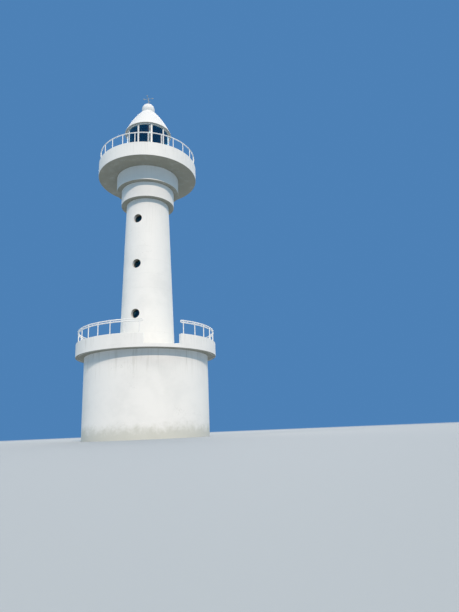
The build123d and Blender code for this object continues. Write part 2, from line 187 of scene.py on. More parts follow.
def render_coat_effect():
    """Trowelled cement render under rolled paint: long waves, roller grain, and patches of dulled paint."""
    tree, given, result = effect("render_coat", {"Wave": 0.004, "Grain": 0.0004}, ["Height", "Dulled"])
    place = here(tree)
    waves = times(tree, noise(tree, place, scale=1.7, detail=2.0, roughness=0.4), given["Wave"])
    grain = noise(tree, place, scale=190.0, detail=2.0, roughness=0.6)
    tree.links.new(graded(tree, grain, base=waves, span=given["Grain"]), result["Height"])
    patches = noise(tree, place, scale=0.8, detail=6.0, roughness=0.62)
    tree.links.new(climb(tree, patches, low=0.42, high=0.72), result["Dulled"])
    return tree


def hairlines_effect():
    """Fine cracks: the borders between crooked cells, kept only in a few places and broken off unevenly."""
    swing = 0.7
    tree, given, result = effect("hairlines", {"Width": 0.0022, "Cells": 0.8}, ["Crack"])
    place = here(tree)
    inputs = {"Vector": place, "Scale": 2.1, "Detail": 8.0, "Roughness": 0.6}
    wander = add(tree, "ShaderNodeTexNoise", inputs).outputs["Color"]
    crooked = vector(tree, "MULTIPLY_ADD", wander, (swing, swing, swing), place)["Vector"]
    inputs = {"Vector": crooked, "Scale": given["Cells"]}
    border = add(tree, "ShaderNodeTexVoronoi", inputs, feature="DISTANCE_TO_EDGE").outputs["Distance"]
    inputs = {"Value": border, "From Min": given["Width"], "From Max": 0.0}
    line = add(tree, "ShaderNodeMapRange", inputs).outputs[0]
    kept = climb(tree, noise(tree, place, scale=0.55, detail=3.0), low=0.55, high=0.6)
    tree.links.new(times(tree, line, kept), result["Crack"])
    return tree


def pour_lines_effect():
    """Level joints between one lift of the wall and the next, a little wavy and never quite even."""
    waver = 0.03
    half_joint = 0.016
    tree, given, result = effect("pour_lines", {"Lift": LIFT, "First": 0.0}, ["Joint"])
    place = here(tree)
    wavy = graded(tree, noise(tree, place, scale=1.4, detail=3.0), base=-waver / 2, span=waver)
    height = calc(tree, "ADD", calc(tree, "SUBTRACT", height_here(tree), given["First"]), wavy)
    lifts = calc(tree, "FRACT", calc(tree, "ADD", calc(tree, "DIVIDE", height, given["Lift"]), 0.5))
    distance = calc(tree, "ABSOLUTE", calc(tree, "SUBTRACT", lifts, 0.5))
    kept = climb(tree, noise(tree, place, scale=0.7, detail=3.0), low=0.4, high=0.62)
    tree.links.new(times(tree, climb(tree, distance, low=half_joint, high=0.0), kept), result["Joint"])
    return tree


rain_marks = rain_marks_effect()
facing = facing_effect()
render_coat = render_coat_effect()
hairlines = hairlines_effect()
pour_lines = pour_lines_effect()


def blank(name):
    """New material, with its node tree and the inputs of its shader."""
    material = bpy.data.materials.new(name)
    material.use_nodes = True
    return material, material.node_tree, material.node_tree.nodes["Principled BSDF"].inputs


def emboss(tree, coat, relief):
    """Raise the surface by a height in metres."""
    bump = add(tree, "ShaderNodeBump", {"Height": relief, "Distance": 1.0})
    tree.links.new(bump.outputs[0], coat["Normal"])


def masonry(name, edge, reach, runs=0.4, lifts=0.0, first_joint=0.0, algae_top=-1.0):
    """White masonry paint on render, with runs below an edge, grey painted shade on soffits, dusty tops and
    fine cracks.
    Its shares of runs and of joints between lifts run from 0 to 1."""
    material, tree, paint = blank(name)
    coat = put(tree, render_coat)
    faces = put(tree, facing)
    crack = put(tree, hairlines)["Crack"]
    joint = put(tree, pour_lines, First=first_joint)["Joint"]
    mark = put(tree, rain_marks, Edge=edge, Reach=reach)["Mark"]
    cloud = noise(tree, here(tree), scale=2.6, detail=6.0, roughness=0.65)
    # Soffits get grey painted shade, patchy with the cloud noise.
    soffit_shade = times(tree, faces["Soffit"], climb(tree, cloud, low=-0.6, high=0.55))
    grit = graded(tree, noise(tree, here(tree), scale=34.0, detail=5.0, roughness=0.7), base=0.2, span=0.6)
    dust = times(tree, faces["Top"], climb(tree, times(tree, cloud, grit), low=0.1, high=0.38))
    damp = graded(tree, cloud, base=height_here(tree), span=-0.9)
    algae = climb(tree, damp, low=algae_top, high=algae_top - ALGAE_BAND)
    colour = over(tree, PAINT_WHITE, PAINT_DULLED, coat["Dulled"], share=0.45)
    colour = over(tree, colour, RUN_MARK, mark, share=runs)
    colour = over(tree, colour, PAINT_DULLED, joint, share=lifts)
    colour = over(tree, colour, CRACK_SHADE, crack, share=0.5)
    colour = over(tree, colour, SOFFIT_SHADE, soffit_shade)
    colour = over(tree, colour, TOP_DUST, dust, share=0.75)
    colour = over(tree, colour, ALGAE, algae, share=0.45)
    tree.links.new(colour, paint["Base Color"])
    tree.links.new(graded(tree, cloud, base=0.5, span=0.3), paint["Roughness"])
    relief = graded(tree, crack, base=coat["Height"], span=-CRACK_DEPTH)
    emboss(tree, paint, graded(tree, joint, base=relief, span=-JOINT_DEPTH * lifts))
    paint["Specular IOR Level"].default_value = PAINT_SHINE
    return material


def coat_nodes(material, *names):
    """Give CAD nodes that stay as they are their finish."""
    for name in names:
        cad[name].data.materials[0] = material


terrace_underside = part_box("terrace_slab")[0].z
base_paint = masonry("base_wall_paint", terrace_underside, reach=1.6, runs=0.5, algae_top=0.25)
coat_nodes(base_paint, "foundation_slab", "base_wall_front", "base_wall_right", "base_wall_left")
coat_nodes(base_paint, "base_wall_lintel", "tower_foot_right", "tower_foot_left", "tower_foot_lintel")


# Doors. Panelled steel doors in steel frames, painted pale grey: the entrance, and a narrower one from the
# shaft onto the terrace. Each opens outwards on three lift-off hinges, and has a lever and a lock of
# brushed steel, and a weather bar that throws the rain off its foot.
DOOR_FRAME_FACE = 0.055
DOOR_LEAF_GAP = 0.002
DOOR_EASE = 0.003
FITTING_SEAT = 0.001
HINGE_RADIUS = 0.010
HINGE_HALF = 0.06
HINGE_CHAMFER = 0.004
HINGE_GROOVE = 0.002
HINGE_KNUCKLE_GAP = 0.001
HINGE_STAND_OFF = 0.006
HINGE_SHARES = np.array([0.12, 0.5, 0.88])
LOCK_INSET = 0.065
LOCK_HEIGHT = 0.90
LOCK_RADIUS = 0.022
LOCK_DEPTH = 0.006
LOCK_CHAMFER = 0.002
BARREL_RADIUS = 0.010
BARREL_DEPTH = 0.010
BARREL_CHAMFER = 0.001
WEATHER_BAR_HEIGHT = 0.036
WEATHER_BAR_DEPTH = 0.032
WEATHER_BAR_LIP = 0.008
WEATHER_BAR_RISE = 0.010
WEATHER_BAR_END = 0.012
WEATHER_BAR_EASES = np.array([0.0004, 0.002, 0.003, 0.0004])
LEVER_FROM = 0.0003
LEVER_FULL = 0.001
BRUSH_WAVES = (60, 60, 3)
BRUSH_RELIEF = 0.00025
DOOR_GREY = (0.62, 0.66, 0.69, 1)
DOOR_WORN = (0.40, 0.43, 0.46, 1)
RUST = (0.23, 0.085, 0.03, 1)
BRUSHED_STEEL = (0.56, 0.57, 0.57, 1)


def sheet_paint(name, colour, worn, gloss=0.35, rust=0.15):
    """Brushed gloss paint on steel: faint brush marks, dull patches and a little rust in the worst."""
    material, tree, paint = blank(name)
    place = here(tree)
    strokes = add(tree, "ShaderNodeMapping", {"Vector": place, "Scale": BRUSH_WAVES}).outputs[0]
    dulled = climb(tree, noise(tree, place, scale=4.0, detail=6.0, roughness=0.65), low=0.45, high=0.75)
    bloom = climb(tree, noise(tree, place, scale=11.0, detail=6.0, roughness=0.7), low=0.69, high=0.8)
    shade = over(tree, colour, worn, dulled, share=0.3)
    tree.links.new(over(tree, shade, RUST, bloom, share=rust), paint["Base Color"])
    rough = graded(tree, dulled, base=gloss, span=0.2)
    tree.links.new(graded(tree, bloom, base=rough, span=0.4), paint["Roughness"])
    emboss(tree, paint, times(tree, noise(tree, strokes, scale=1.0, detail=3.0), BRUSH_RELIEF))
    return material


def lever_steel(material, face):
    """Brushed steel on all that stands out of a door's face, which is its lever."""
    tree = material.node_tree
    coat = tree.nodes["Principled BSDF"].inputs
    outwards = add(tree, "ShaderNodeSeparateXYZ", {0: here(tree)}).outputs["Y"]
    lever = climb(tree, outwards, low=face + LEVER_FROM, high=face + LEVER_FULL)
    painted, rough = (coat[key].links[0].from_socket for key in ("Base Color", "Roughness"))
    tree.links.new(over(tree, painted, BRUSHED_STEEL, lever), coat["Base Color"])
    tree.links.new(graded(tree, lever, base=rough, span=-0.12), coat["Roughness"])
    tree.links.new(lever, coat["Metallic"])
    return material


def stand(piece, slot, material, *replaced):
    """Put a finished piece in the scene, on the frame, with its material and what it stands for."""
    bpy.context.scene.collection.objects.link(piece)
    piece.data.materials.clear()
    piece.data.materials.append(material)
    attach(piece, "root")
    if replaced:
        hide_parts(*replaced)
    return piece


def eased(node, width, slot, material, flat=0.5, sharp=50):
    """Copy of a CAD node with its flat triangles merged and its edges rounded over. What turns less than
    the flat angle is merged, and what turns more than the sharp angle is rounded, both in degrees."""
    mesh = cad[node].data.copy()
    merged = bmesh.new()
    merged.from_mesh(mesh)
    bmesh.ops.remove_doubles(merged, verts=merged.verts, dist=1e-5)
    bmesh.ops.dissolve_limit(merged, angle_limit=radians(flat), verts=merged.verts, edges=merged.edges)
    merged.to_mesh(mesh)
    merged.free()
    mesh.shade_smooth()
    mesh.set_sharp_from_angle(angle=radians(sharp))
    piece = bpy.data.objects.new(node + "_eased", mesh)
    ease = piece.modifiers.new("ease", "BEVEL")
    ease.width = width
    ease.segments = 2
    ease.limit_method = "ANGLE"
    ease.angle_limit = radians(sharp)
    ease.harden_normals = True
    return stand(piece, slot, material, node)


def softened(outline, cut, steps=4):
    """Closed outline with its corners rounded: each becomes corner + cut ((1 - s)^2 a + s^2 b) for s from
    0 to 1, where a and b point along the edges to the corners before and after it. One more point on each
    edge, one and a half cuts from the corner, keeps the face between two corners flat."""
    held = 1.5
    corner = np.asarray(outline, float)
    a = np.roll(corner, 1, axis=0) - corner
    b = np.roll(corner, -1, axis=0) - corner
    a /= np.linalg.norm(a, axis=1, keepdims=True)
    b /= np.linalg.norm(b, axis=1, keepdims=True)
    s = np.linspace(0, 1, steps + 1)
    along_a = np.concatenate(([held], (1 - s) ** 2, [0]))[:, None]
    along_b = np.concatenate(([0], s**2, [held]))[:, None]
    size = np.broadcast_to(cut, len(corner))[:, None, None]
    return (corner[:, None] + size * (along_a * a[:, None] + along_b * b[:, None])).reshape(-1, 2)


def quads(rows, columns, round_u, round_v):
    """Faces of a grid: each joins a point to the next in both directions, and round where it closes."""
    i = np.arange(rows if round_u else rows - 1)[:, None]
    j = np.arange(columns if round_v else columns - 1)
    after_i, after_j = (i + 1) % rows, (j + 1) % columns
    corners = (i * columns + j, after_i * columns + j, after_i * columns + after_j, i * columns + after_j)
    return np.stack(corners, axis=-1).reshape(-1, 4)


def repeated(faces, copies, points_each):
    """Faces of one grid, repeated for every copy of its points."""
    return (faces + np.arange(copies)[:, None, None] * points_each).reshape(-1, 4)


def solid(name, points, faces, ends=(), crease=40):
    """Mesh object of points and faces, smooth but for the edges sharper than the crease angle."""
    mesh = bpy.data.meshes.new(name)
    mesh.from_pydata(np.asarray(points, float).reshape(-1, 3).tolist(), [], faces.tolist() + list(ends))
    shell = bmesh.new()
    shell.from_mesh(mesh)
    bmesh.ops.remove_doubles(shell, verts=shell.verts, dist=1e-6)
    shell.to_mesh(mesh)
    shell.free()
    mesh.shade_smooth()
    mesh.set_sharp_from_angle(angle=radians(crease))
    return bpy.data.objects.new(name, mesh)


def joined(name, grids):
    """One mesh object of several grids, each given as its points and its faces."""
    before = np.cumsum([0] + [points.size // 3 for points, _ in grids])
    points = np.concatenate([points.reshape(-1, 3) for points, _ in grids])
    faces = np.concatenate([faces + start for (_, faces), start in zip(grids, before)])
    return solid(name, points, faces)


def spun(outline, steps):
    """An outline of (r, h) turned about its own axis: r cos w, r sin w and h, as three arrays."""
    w = 2 * np.pi * np.arange(steps) / steps
    r, h = np.asarray(outline, float).T
    return np.outer(np.cos(w), r), np.outer(np.sin(w), r), np.tile(h, (steps, 1))


def turned_about(centres, outline, steps=20):
    """The same small turned shape about an upright axis at every centre: (r cos w, r sin w, z) from the
    centre. The outline runs anticlockwise, and closes on the axis where it starts and ends there, or else
    on itself."""
    points = np.asarray(centres, float)[:, None, None] + np.stack(spun(outline, steps), axis=-1)
    faces = quads(steps, len(outline), True, outline[0][0] + outline[-1][0] > 0)
    return points, repeated(faces, len(points), steps * len(outline))


def turned_outwards(centre, outline, steps=24):
    """Small shape turned about a level axis that looks along +Y: (r cos w, h, r sin w) from the centre."""
    across, up, out = spun(outline, steps)
    points = np.stack([across, out, up], axis=-1) + np.asarray(centre, float)
    return points, quads(steps, len(outline), True, False)[:, ::-1]


def bar_across(outline, low, high):
    """Bar along X: the (y, z) outline at x = low and x = high, drawn in to its middle to close the ends."""
    outline = np.asarray(outline, float)
    middle = outline.mean(axis=0)
    section = middle + np.array([0.0, 1.0, 1.0, 0.0])[:, None, None] * (outline - middle)
    x = np.repeat(np.array([low, low, high, high])[:, None], len(outline), axis=1)
    return np.concatenate([x[..., None], section], axis=-1), quads(4, len(outline), False, True)[:, ::-1]


hinge_outline = [
    (0.0, -HINGE_HALF),
    (HINGE_RADIUS - HINGE_CHAMFER, -HINGE_HALF),
    (HINGE_RADIUS, HINGE_CHAMFER - HINGE_HALF),
    (HINGE_RADIUS, -HINGE_KNUCKLE_GAP),
    (HINGE_RADIUS - HINGE_GROOVE, -HINGE_KNUCKLE_GAP),
    (HINGE_RADIUS - HINGE_GROOVE, HINGE_KNUCKLE_GAP),
    (HINGE_RADIUS, HINGE_KNUCKLE_GAP),
    (HINGE_RADIUS, HINGE_HALF - HINGE_CHAMFER),
    (HINGE_RADIUS - HINGE_CHAMFER, HINGE_HALF),
    (0.0, HINGE_HALF),
]
lock_outline = [
    (0.0, -FITTING_SEAT),
    (LOCK_RADIUS, -FITTING_SEAT),
    (LOCK_RADIUS, LOCK_DEPTH - LOCK_CHAMFER),
    (LOCK_RADIUS - LOCK_CHAMFER, LOCK_DEPTH),
    (BARREL_RADIUS + LOCK_CHAMFER, LOCK_DEPTH),
    (BARREL_RADIUS + BARREL_CHAMFER, LOCK_DEPTH - LOCK_CHAMFER),
    (BARREL_RADIUS, LOCK_DEPTH - LOCK_CHAMFER),
    (BARREL_RADIUS, BARREL_DEPTH - BARREL_CHAMFER),
    (BARREL_RADIUS - BARREL_CHAMFER, BARREL_DEPTH),
    (0.0, BARREL_DEPTH),
]
fittings_paint = sheet_paint("door_fittings_grey", DOOR_GREY, DOOR_WORN, rust=0.4)
lock_steel = lever_steel(sheet_paint("lock_steel", DOOR_GREY, DOOR_WORN), 0.0)
for door in ("entrance", "terrace"):
    frame_low, frame_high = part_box(door + "_door_frame")
    face = frame_high.y
    leaf_half = (frame_high.x - frame_low.x) / 2 - DOOR_FRAME_FACE - DOOR_LEAF_GAP
    leaf_foot = frame_low.z + DOOR_FRAME_FACE
    leaf_height = frame_high.z - frame_low.z - 2 * DOOR_FRAME_FACE
    door_paint = lever_steel(sheet_paint(door + "_door_grey", DOOR_GREY, DOOR_WORN), face)
    eased(door + "_door_frame", DOOR_EASE, "door_paint", door_paint)
    eased(door + "_door", DOOR_EASE, "door_paint", door_paint)
    hinge_heights = leaf_foot + HINGE_SHARES * leaf_height
    hinge_centres = [(-leaf_half, face + HINGE_STAND_OFF, z) for z in hinge_heights]
    bar_foot = leaf_foot + WEATHER_BAR_RISE
    bar_outline = softened(
        [
            (face - FITTING_SEAT, bar_foot),
            (face + WEATHER_BAR_DEPTH, bar_foot),
            (face + WEATHER_BAR_DEPTH, bar_foot + WEATHER_BAR_LIP),
            (face - FITTING_SEAT, bar_foot + WEATHER_BAR_HEIGHT),
        ],
        WEATHER_BAR_EASES,
    )
    bar_half = leaf_half - WEATHER_BAR_END
    fittings = [turned_about(hinge_centres, hinge_outline), bar_across(bar_outline, -bar_half, bar_half)]
    stand(joined(door + "_door_fittings", fittings), "door_paint", fittings_paint)
    lock = turned_outwards((leaf_half - LOCK_INSET, face, frame_low.z + LOCK_HEIGHT), lock_outline)
    stand(joined(door + "_door_lock", [lock]), "door_paint", lock_steel)


# Terrace. A cast slab that juts out over the base storey, with a drip groove under its edge, and a low
# wall of cast concrete that stands flush with the slab's edge and stops on either side of the way in.
TERRACE_PARAPET = 0.19
TERRACE_BAYS = 31
OPEN_BAYS = 3
OPENING_TURN = 21.1
PARAPET_END = 3.0
DRIP_INSET = 0.09
DRIP_WIDTH = 0.03
DRIP_DEPTH = 0.02
DRIP_EASE = 0.004
ARRIS = 0.014
HIDDEN_EDGE = 0.001
CAST_JOINT = 0.0005
SHAFT_BORE = 0.85


def turned(name, outline, start=0.0, sweep=360.0, steps=240, crease=40):
    """Surface turned about the tower's axis: at azimuth u and outline place v it is (r(v) sin u,
    -r(v) cos u, z(v)). The outline runs anticlockwise. Less than a full turn is closed by the outline
    itself at both ends."""
    full = sweep >= 360
    u = np.radians(start + sweep * np.arange(steps if full else steps + 1) / steps)
    r, z = np.asarray(outline, float).T
    points = np.stack([np.outer(np.sin(u), r), -np.outer(np.cos(u), r), np.tile(z, (len(u), 1))], axis=-1)
    count = len(r)
    last = (len(u) - 1) * count
    ends = [] if full else [list(range(count)), list(range(last + count - 1, last - 1, -1))]
    return solid(name, points, quads(len(u), count, full, True), ends, crease)


def low_wall(storey, thickness, paint, start=0.0, sweep=360.0):
    """Low wall of the terrace or the gallery, with the two edges along its top rounded."""
    slab_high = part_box(storey + "_slab")[1]
    inner, outer, foot = slab_high.x - thickness, slab_high.x, slab_high.z
    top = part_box(storey + "_parapet_right")[1].z
    outline = softened(
        [(inner, foot), (outer, foot), (outer, top), (inner, top)],
        np.array([CAST_JOINT, CAST_JOINT, ARRIS, ARRIS]),
    )
    wall = turned(storey + "_low_wall", outline, start, sweep)
    stand(wall, "wall_render", paint, storey + "_parapet_right", storey + "_parapet_left")


terrace_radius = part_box("terrace_slab")[1].x
terrace_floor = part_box("terrace_slab")[1].z
terrace_wall_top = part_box("terrace_parapet_right")[1].z
terrace_paint = masonry("terrace_paint", terrace_wall_top, reach=0.75, runs=0.3)
drip = terrace_radius - DRIP_INSET
slab_outline = softened(
    [
        (SHAFT_BORE, terrace_underside),
        (drip - DRIP_WIDTH, terrace_underside),
        (drip - DRIP_WIDTH, terrace_underside + DRIP_DEPTH),
        (drip, terrace_underside + DRIP_DEPTH),
        (drip, terrace_underside),
        (terrace_radius, terrace_underside),
        (terrace_radius, terrace_floor),
        (SHAFT_BORE, terrace_floor),
    ],
    np.array([HIDDEN_EDGE, *[DRIP_EASE] * 4, ARRIS, CAST_JOINT, HIDDEN_EDGE]),
)
stand(turned("terrace_floor_slab", slab_outline), "wall_render", terrace_paint, "terrace_slab")

terrace_bay = 360 / TERRACE_BAYS
guard_start = OPENING_TURN + OPEN_BAYS * terrace_bay
guard_sweep = 360 - OPEN_BAYS * terrace_bay
wall_sweep = guard_sweep + 2 * PARAPET_END
low_wall("terrace", TERRACE_PARAPET, terrace_paint, guard_start - PARAPET_END, wall_sweep)


# Terrace guard. Twin steel tubes on upright tubes, welded up and painted gloss white. Each upright stands
# in a grouted steel collar on the low wall, where the paint has begun to lift and rust shows.
ENAMEL = (0.92, 0.925, 0.92, 1)
ENAMEL_DULLED = (0.74, 0.75, 0.74, 1)
FOOT_COLLAR_RADIUS = 0.034
FOOT_COLLAR_HEIGHT = 0.016
FOOT_COLLAR_TAPER = 0.005
FOOT_COLLAR_EASE = 0.002
UPRIGHT_RADIUS = 0.02
UPRIGHT_OVERLAP = 0.001
WELD = 0.006
RUST_REACH = 0.09
ENAMEL_RUNS = 0.0003
ENAMEL_BLISTERS = 0.0006
RAIL_PITCH = 0.086


def enamel(name, foot):
    """Gloss white on steel tube, dulled in patches, with rust that seeps out at the uprights' feet."""
    material, tree, paint = blank(name)
    place = here(tree)
    dulled = climb(tree, noise(tree, place, scale=7.0, detail=5.0, roughness=0.6), low=0.45, high=0.7)
    near_foot = climb(tree, calc(tree, "SUBTRACT", height_here(tree), foot), low=RUST_REACH, high=0.0)
    bloom = climb(tree, noise(tree, place, scale=23.0, detail=6.0, roughness=0.7), low=0.52, high=0.72)
    specks = climb(tree, noise(tree, place, scale=31.0, detail=5.0, roughness=0.7), low=0.71, high=0.78)
    rusty = calc(tree, "MAXIMUM", times(tree, near_foot, bloom), times(tree, specks, 0.5))
    colour = over(tree, ENAMEL, ENAMEL_DULLED, dulled, share=0.35)
    tree.links.new(over(tree, colour, RUST, rusty, share=0.75), paint["Base Color"])
    rough = graded(tree, dulled, base=0.28, span=0.15)
    tree.links.new(graded(tree, rusty, base=rough, span=0.5), paint["Roughness"])
    runs = times(tree, noise(tree, place, scale=60.0, detail=3.0), ENAMEL_RUNS)
    emboss(tree, paint, graded(tree, rusty, base=runs, span=ENAMEL_BLISTERS))
    return material


def foot_and_weld(name, azimuths, radius, foot, rail, tube):
    """Collar at each upright's foot, and the bead of weld where its top meets the tube."""
    bore = UPRIGHT_RADIUS - UPRIGHT_OVERLAP
    collar_top = foot + FOOT_COLLAR_HEIGHT
    collar = softened(
        [
            (bore, foot),
            (FOOT_COLLAR_RADIUS, foot),
            (FOOT_COLLAR_RADIUS - FOOT_COLLAR_TAPER, collar_top),
            (bore, collar_top),
        ],
        FOOT_COLLAR_EASE,
        steps=2,
    )
    under = rail - tube
    bead = [
        (bore, under - WELD),
        (UPRIGHT_RADIUS + WELD * 0.35, under - WELD * 0.4),
        (UPRIGHT_RADIUS + WELD, under + WELD * 0.5),
        (bore, under + WELD),
    ]
    u = np.radians(azimuths)
    centres = np.stack([radius * np.sin(u), -radius * np.cos(u), np.zeros_like(u)], axis=-1)
    return joined(name, [turned_about(centres, collar), turned_about(centres, bead)])


rail_low, rail_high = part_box("terrace_rail_left")
tube = (rail_high.z - rail_low.z - RAIL_PITCH) / 2
terrace_guard_paint = enamel("terrace_guard_enamel", terrace_wall_top)
coat_nodes(terrace_guard_paint, "terrace_rail_right", "terrace_rail_left")
coat_nodes(terrace_guard_paint, "terrace_balusters", "terrace_rail_spacers")
terrace_fittings = foot_and_weld(
    "terrace_foot_collars",
    guard_start + terrace_bay * np.arange(TERRACE_BAYS - OPEN_BAYS + 1),
    terrace_radius - TERRACE_PARAPET / 2,
    terrace_wall_top,
    rail_low.z + tube,
    tube,
)
stand(terrace_fittings, "guard_paint", terrace_guard_paint)


# Shaft. The tower's wall, cast in lifts between round shutters, so that faint level joints show through
# the paint. It tapers evenly up to the lower collar.
FIRST_JOINT = 10.51
SHAFT_HEAD_RADIUS = 1.073
shaft_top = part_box("shaft_wall_right")[1].z
shaft_foot_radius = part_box("shaft_wall_right")[1].x
shaft_paint = masonry("shaft_paint", shaft_top, reach=3.2, runs=0.22, lifts=0.55, first_joint=FIRST_JOINT)
coat_nodes(shaft_paint, "shaft_wall_front", "shaft_wall_right", "shaft_wall_back", "shaft_wall_left")


# Portholes. Cast bronze ship's lights, painted nearly black, set deep in the wall: a rounded rim holds a
# thick round glass, and eight domed bolts hold the rim.
PORTHOLE_HEIGHTS = (1.811, 4.311, 6.711)
REAR_PORTHOLE_HEIGHTS = (4.311, 6.711)
PORTHOLE_RADIUS = 0.2247
PORTHOLE_RECESS = 0.19
RIM_WIDTH = 0.038
RIM_DEPTH = 0.045
RIM_FACE = -0.002
RIM_EASES = np.array([0.001, 0.001, 0.008, 0.010])
RIM_STEPS = 64
BOLT_RADIUS = 0.0075
BOLT_DOME = 0.7
BOLT_SEAT = 0.0025
BOLT_SHANK = 0.004
BOLT_STEPS = 10
BOLTS = 8
RIM_BLACK = (0.035, 0.038, 0.04, 1)
RIM_WORN = (0.12, 0.125, 0.11, 1)


def at_portholes(across, up, out):
    """Points given as across, up and out of the wall, repeated at every porthole: its centre, plus across
    along the wall to the right as seen from outside, up, and out along the porthole's own axis."""
    heights = np.array(PORTHOLE_HEIGHTS + REAR_PORTHOLE_HEIGHTS) + terrace_floor
    side = np.where(np.arange(len(heights)) < len(PORTHOLE_HEIGHTS), -1.0, 1.0)
    share = (heights - terrace_floor) / (shaft_top - terrace_floor)
    radius = shaft_foot_radius + (SHAFT_HEAD_RADIUS - shaft_foot_radius) * share - PORTHOLE_RECESS
    lead = (slice(None),) + (None,) * across.ndim
    x = -side[lead] * across
    y = (side * radius)[lead] + side[lead] * out
    return np.stack([x, y, heights[lead] + up], axis=-1)


rim_outline = softened(
    [
        (PORTHOLE_RADIUS - RIM_WIDTH, -RIM_DEPTH),
        (PORTHOLE_RADIUS, -RIM_DEPTH),
        (PORTHOLE_RADIUS, RIM_FACE),
        (PORTHOLE_RADIUS - RIM_WIDTH, RIM_FACE),
    ],
    RIM_EASES,
    steps=5,
)
rim_points = at_portholes(*spun(rim_outline, RIM_STEPS))
rim_faces = quads(RIM_STEPS, len(rim_outline), True, True)[:, ::-1]
rim_faces = repeated(rim_faces, len(rim_points), RIM_STEPS * len(rim_outline))

tilt = np.linspace(0, np.pi / 2, 4)
dome_r = np.concatenate([[BOLT_RADIUS], BOLT_RADIUS * np.cos(tilt)])
dome_h = np.concatenate([[-BOLT_SHANK], BOLT_RADIUS * BOLT_DOME * np.sin(tilt)]) - BOLT_SEAT
dome_across, dome_up, dome_out = spun(np.stack([dome_r, dome_h], axis=-1), BOLT_STEPS)
bolt_angle = 2 * np.pi * (np.arange(BOLTS) + 0.5)[:, None, None] / BOLTS
bolt_circle = PORTHOLE_RADIUS - RIM_WIDTH / 2
bolt_across = bolt_circle * np.cos(bolt_angle) + dome_across
bolt_up = bolt_circle * np.sin(bolt_angle) + dome_up
bolt_points = at_portholes(bolt_across, bolt_up, np.broadcast_to(dome_out, bolt_across.shape))
bolt_faces = quads(BOLT_STEPS, len(dome_r), True, False)[:, ::-1]
bolt_faces = repeated(bolt_faces, len(rim_points) * BOLTS, BOLT_STEPS * len(dome_r))

rim_paint = sheet_paint("porthole_black", RIM_BLACK, RIM_WORN, gloss=0.4, rust=0.35)
stand(solid("porthole_rims", rim_points, rim_faces), "porthole_metal", rim_paint, "porthole_frames")
stand(solid("porthole_bolts", bolt_points, bolt_faces), "porthole_metal", rim_paint)


# Glass of the portholes. Thick tinted plate in front of the unlit inside of the shaft, bedded behind the
# rim, with salt dried on in a cloudy film.
GLASS_TINT = (0.14, 0.50, 0.66, 1)
SALT = (0.30, 0.50, 0.58, 1)
GLASS_SHEEN = (0.35, 0.85, 1.0, 1)
PLATE_IOR = 1.5
PLATE_WAVES = 0.0008
FILM_COAT = 0.08
FILM_ROUGHNESS = 0.2


def tinted_glass(name, foot, reach, ior):
    """Plate tinted blue against the sun, and filmed with salt that is thickest low in each light."""
    material, tree, glass = blank(name)
    place = here(tree)
    film = climb(tree, noise(tree, place, scale=5.0, detail=7.0, roughness=0.68), low=0.4, high=0.85)
    near_foot = climb(tree, calc(tree, "SUBTRACT", height_here(tree), foot), low=reach, high=0.0)
    salted = times(tree, film, graded(tree, near_foot, base=0.15, span=0.5))
    tree.links.new(over(tree, GLASS_TINT, SALT, salted), glass["Base Color"])
    tree.links.new(graded(tree, salted, base=0.03, span=0.6), glass["Roughness"])
    emboss(tree, glass, times(tree, noise(tree, place, scale=1.8, detail=1.0), PLATE_WAVES))
    glass["IOR"].default_value = ior
    glass["Transmission Weight"].default_value = 1.0
    glass["Specular Tint"].default_value = GLASS_SHEEN
    glass["Coat Weight"].default_value = FILM_COAT
    glass["Coat Roughness"].default_value = FILM_ROUGHNESS
    return material


coat_nodes(tinted_glass("porthole_plate", foot=0.0, reach=1.0, ior=PLATE_IOR), "porthole_glass")


# Collars. Two drums that step out from the shaft to carry the gallery, cast with it and painted alike. The
# gallery keeps rain off them, but damp has drawn faint runs down from the joint above.
collar_paint = masonry("collar_paint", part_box("upper_collar")[1].z, reach=0.9, runs=0.28)
for collar in ("lower_collar", "upper_collar"):
    low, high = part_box(collar)
    outline = softened(
        [(SHAFT_BORE, low.z), (high.x, low.z), (high.x, high.z), (SHAFT_BORE, high.z)],
        np.array([HIDDEN_EDGE, ARRIS, HIDDEN_EDGE, HIDDEN_EDGE]),
    )
    stand(turned(collar + "_drum", outline), "wall_render", collar_paint, collar)


# Gallery. A round slab with a low wall flush with its edge, both cast and painted as one. The hatch from
# the shaft comes up inside the lantern.
GALLERY_PARAPET = 0.144
HATCH_RADIUS = 0.35
HATCH_EASE = 0.004
gallery_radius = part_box("gallery_slab")[1].x
gallery_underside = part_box("gallery_slab")[0].z
gallery_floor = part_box("gallery_slab")[1].z
gallery_wall_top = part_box("gallery_parapet_right")[1].z
gallery_paint = masonry("gallery_paint", gallery_wall_top, reach=0.8, runs=0.3)
gallery_slab_outline = softened(
    [
        (HATCH_RADIUS, gallery_underside),
        (gallery_radius, gallery_underside),
        (gallery_radius, gallery_floor),
        (HATCH_RADIUS, gallery_floor),
    ],
    np.array([HATCH_EASE, ARRIS, CAST_JOINT, HATCH_EASE]),
)
stand(turned("gallery_floor_slab", gallery_slab_outline), "wall_render", gallery_paint, "gallery_slab")
low_wall("gallery", GALLERY_PARAPET, gallery_paint)


# Gallery guard. One steel tube on twenty-four uprights, in the same welded and painted work as the
# terrace's, with the same collars grouted to the low wall.
GALLERY_UPRIGHTS = 24
GALLERY_TURN = 12
gallery_guard_paint = enamel("gallery_guard_enamel", gallery_wall_top)
coat_nodes(gallery_guard_paint, "gallery_rail_right", "gallery_rail_left", "gallery_balusters")
gallery_fittings = foot_and_weld(
    "gallery_foot_collars",
    GALLERY_TURN + 360 / GALLERY_UPRIGHTS * np.arange(GALLERY_UPRIGHTS),
    gallery_radius - GALLERY_PARAPET / 2,
    gallery_wall_top,
    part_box("gallery_rail_left")[1].z - tube,
    tube,
)
stand(gallery_fittings, "guard_paint", gallery_guard_paint)


